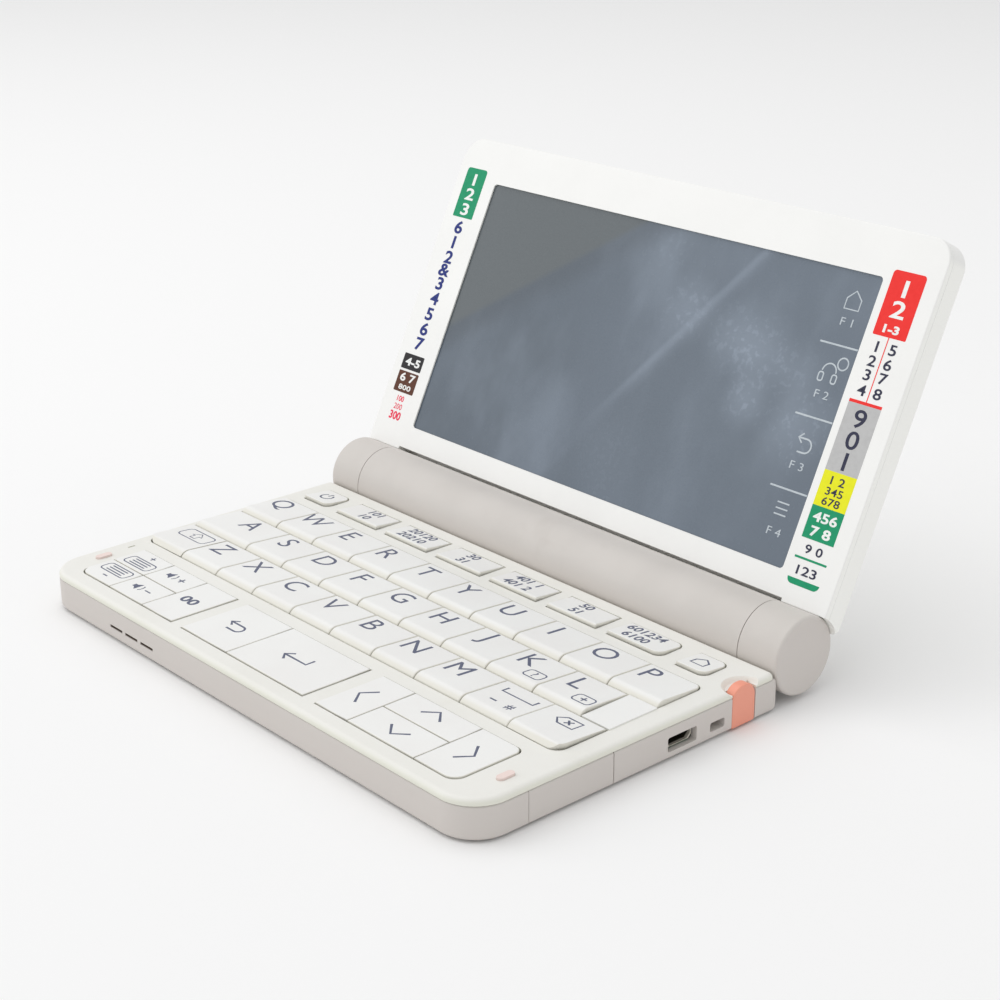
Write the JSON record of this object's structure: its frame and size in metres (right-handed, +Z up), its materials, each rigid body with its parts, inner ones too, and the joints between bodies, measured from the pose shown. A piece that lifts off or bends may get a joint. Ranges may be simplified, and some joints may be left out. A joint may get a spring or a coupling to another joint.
{
  "type": "electronic dictionary",
  "caption": "Pocket electronic dictionary with a hinged touch-screen lid, letter keyboard, round battery barrel at the hinge and a pull-out pen.",
  "frame": {"origin": "on the table, in the middle of the base: half way between its front edge and the back of the hinge barrel, and half way across its width", "axes": "+Z up; +Y from the front edge to the hinge; +X to the user's right, along the hinge axis"},
  "size_m": [0.1586, 0.1433, 0.0948],
  "materials": {
    "case_grey": "fine matt, warm light grey",
    "deck_white": "fine matt, warm white",
    "key_white": "fine matt, white, with blue-grey printed legends",
    "lid_white": "soft sheen, white",
    "pen_salmon": "soft sheen, salmon pink",
    "screen_glass": "clear glossy touch glass over a grey screen",
    "display_dark": "grey display with a metal-backed frame",
    "steel": "bright steel",
    "cell_wrap": "printed sleeve, plain colour",
    "board_green": "solder mask",
    "sheet_rubber": "soft matt",
    "pad_rubber": "matt; the two lid bumpers are salmon pink",
    "speaker_dark": "matt"
  },
  "bodies": {
    "base": {"bottom_case": "case_grey", "top_deck": "deck_white", "barrel": "case_grey", "main_board": "board_green", "speaker": "speaker_dark", "key_sheet": "sheet_rubber", "batteries": "cell_wrap", "battery_contacts": "steel", "rubber_pads": "pad_rubber", "case_screws": "steel", "hinge_shafts": "steel"},
    "battery_cover": {"battery_cover": "case_grey"},
    "card_cover": {"card_cover": "case_grey"},
    "lid": {"lid_frame": "lid_white", "lid_back": "lid_white", "display_module": "display_dark", "touch_panel": "screen_glass", "hinge_drums": "case_grey"},
    "stylus": {"stylus": "pen_salmon"},
    "power_key": {"power_key": "key_white"},
    "dictionary_keys": {"dictionary_keys": "key_white"},
    "home_key": {"home_key": "key_white"},
    "shift_key": {"shift_key": "key_white"},
    "space_key": {"space_key": "key_white"},
    "delete_key": {"delete_key": "key_white"},
    "size_keys": {"size_keys": "key_white"},
    "volume_keys": {"volume_keys": "key_white"},
    "history_key": {"history_key": "key_white"},
    "back_key": {"back_key": "key_white"},
    "enter_key": {"enter_key": "key_white"},
    "left_key": {"left_key": "key_white"},
    "up_key": {"up_key": "key_white"},
    "down_key": {"down_key": "key_white"},
    "right_key": {"right_key": "key_white"},
    "key_q": {"key_q": "key_white"},
    "key_w": {"key_w": "key_white"},
    "key_e": {"key_e": "key_white"},
    "key_r": {"key_r": "key_white"},
    "key_t": {"key_t": "key_white"},
    "key_y": {"key_y": "key_white"},
    "key_u": {"key_u": "key_white"},
    "key_i": {"key_i": "key_white"},
    "key_o": {"key_o": "key_white"},
    "key_p": {"key_p": "key_white"},
    "key_a": {"key_a": "key_white"},
    "key_s": {"key_s": "key_white"},
    "key_d": {"key_d": "key_white"},
    "key_f": {"key_f": "key_white"},
    "key_g": {"key_g": "key_white"},
    "key_h": {"key_h": "key_white"},
    "key_j": {"key_j": "key_white"},
    "key_k": {"key_k": "key_white"},
    "key_l": {"key_l": "key_white"},
    "key_z": {"key_z": "key_white"},
    "key_x": {"key_x": "key_white"},
    "key_c": {"key_c": "key_white"},
    "key_v": {"key_v": "key_white"},
    "key_b": {"key_b": "key_white"},
    "key_n": {"key_n": "key_white"},
    "key_m": {"key_m": "key_white"}
  },
  "joints": [
    {"name": "battery_cover_slide", "type": "slide", "parent": "base", "child": "battery_cover", "axis": [0, 1, 0], "range_m": [0, 0.01]},
    {"name": "card_cover_slide", "type": "slide", "parent": "base", "child": "card_cover", "axis": [1, 0, 0], "range_m": [0, 0.0045]},
    {"name": "lid_hinge", "type": "hinge", "parent": "base", "child": "lid", "pos_m": [0, 0.04295, 0.0103], "axis": [-1, 0, 0], "range_deg": [-115.9, 34.1]},
    {"name": "pen_pull", "type": "slide", "parent": "base", "child": "stylus", "axis": [1, 0, 0], "range_m": [0, 0.094]},
    {"name": "press_power", "type": "slide", "parent": "base", "child": "power_key", "axis": [0, 0, -1], "range_m": [0, 0.001], "stiffness_N_per_m": 600, "springref_m": -0.0005},
    {"name": "press_dictionary", "type": "slide", "parent": "base", "child": "dictionary_keys", "axis": [0, 0, -1], "range_m": [0, 0.001], "stiffness_N_per_m": 600, "springref_m": -0.0005},
    {"name": "press_home", "type": "slide", "parent": "base", "child": "home_key", "axis": [0, 0, -1], "range_m": [0, 0.001], "stiffness_N_per_m": 600, "springref_m": -0.0005},
    {"name": "press_shift", "type": "slide", "parent": "base", "child": "shift_key", "axis": [0, 0, -1], "range_m": [0, 0.001], "stiffness_N_per_m": 600, "springref_m": -0.0005},
    {"name": "press_space", "type": "slide", "parent": "base", "child": "space_key", "axis": [0, 0, -1], "range_m": [0, 0.001], "stiffness_N_per_m": 600, "springref_m": -0.0005},
    {"name": "press_delete", "type": "slide", "parent": "base", "child": "delete_key", "axis": [0, 0, -1], "range_m": [0, 0.001], "stiffness_N_per_m": 600, "springref_m": -0.0005},
    {"name": "press_size", "type": "slide", "parent": "base", "child": "size_keys", "axis": [0, 0, -1], "range_m": [0, 0.001], "stiffness_N_per_m": 600, "springref_m": -0.0005},
    {"name": "press_volume", "type": "slide", "parent": "base", "child": "volume_keys", "axis": [0, 0, -1], "range_m": [0, 0.001], "stiffness_N_per_m": 600, "springref_m": -0.0005},
    {"name": "press_history", "type": "slide", "parent": "base", "child": "history_key", "axis": [0, 0, -1], "range_m": [0, 0.001], "stiffness_N_per_m": 600, "springref_m": -0.0005},
    {"name": "press_back", "type": "slide", "parent": "base", "child": "back_key", "axis": [0, 0, -1], "range_m": [0, 0.001], "stiffness_N_per_m": 600, "springref_m": -0.0005},
    {"name": "press_enter", "type": "slide", "parent": "base", "child": "enter_key", "axis": [0, 0, -1], "range_m": [0, 0.001], "stiffness_N_per_m": 600, "springref_m": -0.0005},
    {"name": "press_left", "type": "slide", "parent": "base", "child": "left_key", "axis": [0, 0, -1], "range_m": [0, 0.001], "stiffness_N_per_m": 600, "springref_m": -0.0005},
    {"name": "press_up", "type": "slide", "parent": "base", "child": "up_key", "axis": [0, 0, -1], "range_m": [0, 0.001], "stiffness_N_per_m": 600, "springref_m": -0.0005},
    {"name": "press_down", "type": "slide", "parent": "base", "child": "down_key", "axis": [0, 0, -1], "range_m": [0, 0.001], "stiffness_N_per_m": 600, "springref_m": -0.0005},
    {"name": "press_right", "type": "slide", "parent": "base", "child": "right_key", "axis": [0, 0, -1], "range_m": [0, 0.001], "stiffness_N_per_m": 600, "springref_m": -0.0005},
    {"name": "press_q", "type": "slide", "parent": "base", "child": "key_q", "axis": [0, 0, -1], "range_m": [0, 0.001], "stiffness_N_per_m": 600, "springref_m": -0.0005},
    {"name": "press_w", "type": "slide", "parent": "base", "child": "key_w", "axis": [0, 0, -1], "range_m": [0, 0.001], "stiffness_N_per_m": 600, "springref_m": -0.0005},
    {"name": "press_e", "type": "slide", "parent": "base", "child": "key_e", "axis": [0, 0, -1], "range_m": [0, 0.001], "stiffness_N_per_m": 600, "springref_m": -0.0005},
    {"name": "press_r", "type": "slide", "parent": "base", "child": "key_r", "axis": [0, 0, -1], "range_m": [0, 0.001], "stiffness_N_per_m": 600, "springref_m": -0.0005},
    {"name": "press_t", "type": "slide", "parent": "base", "child": "key_t", "axis": [0, 0, -1], "range_m": [0, 0.001], "stiffness_N_per_m": 600, "springref_m": -0.0005},
    {"name": "press_y", "type": "slide", "parent": "base", "child": "key_y", "axis": [0, 0, -1], "range_m": [0, 0.001], "stiffness_N_per_m": 600, "springref_m": -0.0005},
    {"name": "press_u", "type": "slide", "parent": "base", "child": "key_u", "axis": [0, 0, -1], "range_m": [0, 0.001], "stiffness_N_per_m": 600, "springref_m": -0.0005},
    {"name": "press_i", "type": "slide", "parent": "base", "child": "key_i", "axis": [0, 0, -1], "range_m": [0, 0.001], "stiffness_N_per_m": 600, "springref_m": -0.0005},
    {"name": "press_o", "type": "slide", "parent": "base", "child": "key_o", "axis": [0, 0, -1], "range_m": [0, 0.001], "stiffness_N_per_m": 600, "springref_m": -0.0005},
    {"name": "press_p", "type": "slide", "parent": "base", "child": "key_p", "axis": [0, 0, -1], "range_m": [0, 0.001], "stiffness_N_per_m": 600, "springref_m": -0.0005},
    {"name": "press_a", "type": "slide", "parent": "base", "child": "key_a", "axis": [0, 0, -1], "range_m": [0, 0.001], "stiffness_N_per_m": 600, "springref_m": -0.0005},
    {"name": "press_s", "type": "slide", "parent": "base", "child": "key_s", "axis": [0, 0, -1], "range_m": [0, 0.001], "stiffness_N_per_m": 600, "springref_m": -0.0005},
    {"name": "press_d", "type": "slide", "parent": "base", "child": "key_d", "axis": [0, 0, -1], "range_m": [0, 0.001], "stiffness_N_per_m": 600, "springref_m": -0.0005},
    {"name": "press_f", "type": "slide", "parent": "base", "child": "key_f", "axis": [0, 0, -1], "range_m": [0, 0.001], "stiffness_N_per_m": 600, "springref_m": -0.0005},
    {"name": "press_g", "type": "slide", "parent": "base", "child": "key_g", "axis": [0, 0, -1], "range_m": [0, 0.001], "stiffness_N_per_m": 600, "springref_m": -0.0005},
    {"name": "press_h", "type": "slide", "parent": "base", "child": "key_h", "axis": [0, 0, -1], "range_m": [0, 0.001], "stiffness_N_per_m": 600, "springref_m": -0.0005},
    {"name": "press_j", "type": "slide", "parent": "base", "child": "key_j", "axis": [0, 0, -1], "range_m": [0, 0.001], "stiffness_N_per_m": 600, "springref_m": -0.0005},
    {"name": "press_k", "type": "slide", "parent": "base", "child": "key_k", "axis": [0, 0, -1], "range_m": [0, 0.001], "stiffness_N_per_m": 600, "springref_m": -0.0005},
    {"name": "press_l", "type": "slide", "parent": "base", "child": "key_l", "axis": [0, 0, -1], "range_m": [0, 0.001], "stiffness_N_per_m": 600, "springref_m": -0.0005},
    {"name": "press_z", "type": "slide", "parent": "base", "child": "key_z", "axis": [0, 0, -1], "range_m": [0, 0.001], "stiffness_N_per_m": 600, "springref_m": -0.0005},
    {"name": "press_x", "type": "slide", "parent": "base", "child": "key_x", "axis": [0, 0, -1], "range_m": [0, 0.001], "stiffness_N_per_m": 600, "springref_m": -0.0005},
    {"name": "press_c", "type": "slide", "parent": "base", "child": "key_c", "axis": [0, 0, -1], "range_m": [0, 0.001], "stiffness_N_per_m": 600, "springref_m": -0.0005},
    {"name": "press_v", "type": "slide", "parent": "base", "child": "key_v", "axis": [0, 0, -1], "range_m": [0, 0.001], "stiffness_N_per_m": 600, "springref_m": -0.0005},
    {"name": "press_b", "type": "slide", "parent": "base", "child": "key_b", "axis": [0, 0, -1], "range_m": [0, 0.001], "stiffness_N_per_m": 600, "springref_m": -0.0005},
    {"name": "press_n", "type": "slide", "parent": "base", "child": "key_n", "axis": [0, 0, -1], "range_m": [0, 0.001], "stiffness_N_per_m": 600, "springref_m": -0.0005},
    {"name": "press_m", "type": "slide", "parent": "base", "child": "key_m", "axis": [0, 0, -1], "range_m": [0, 0.001], "stiffness_N_per_m": 600, "springref_m": -0.0005}
  ]
}
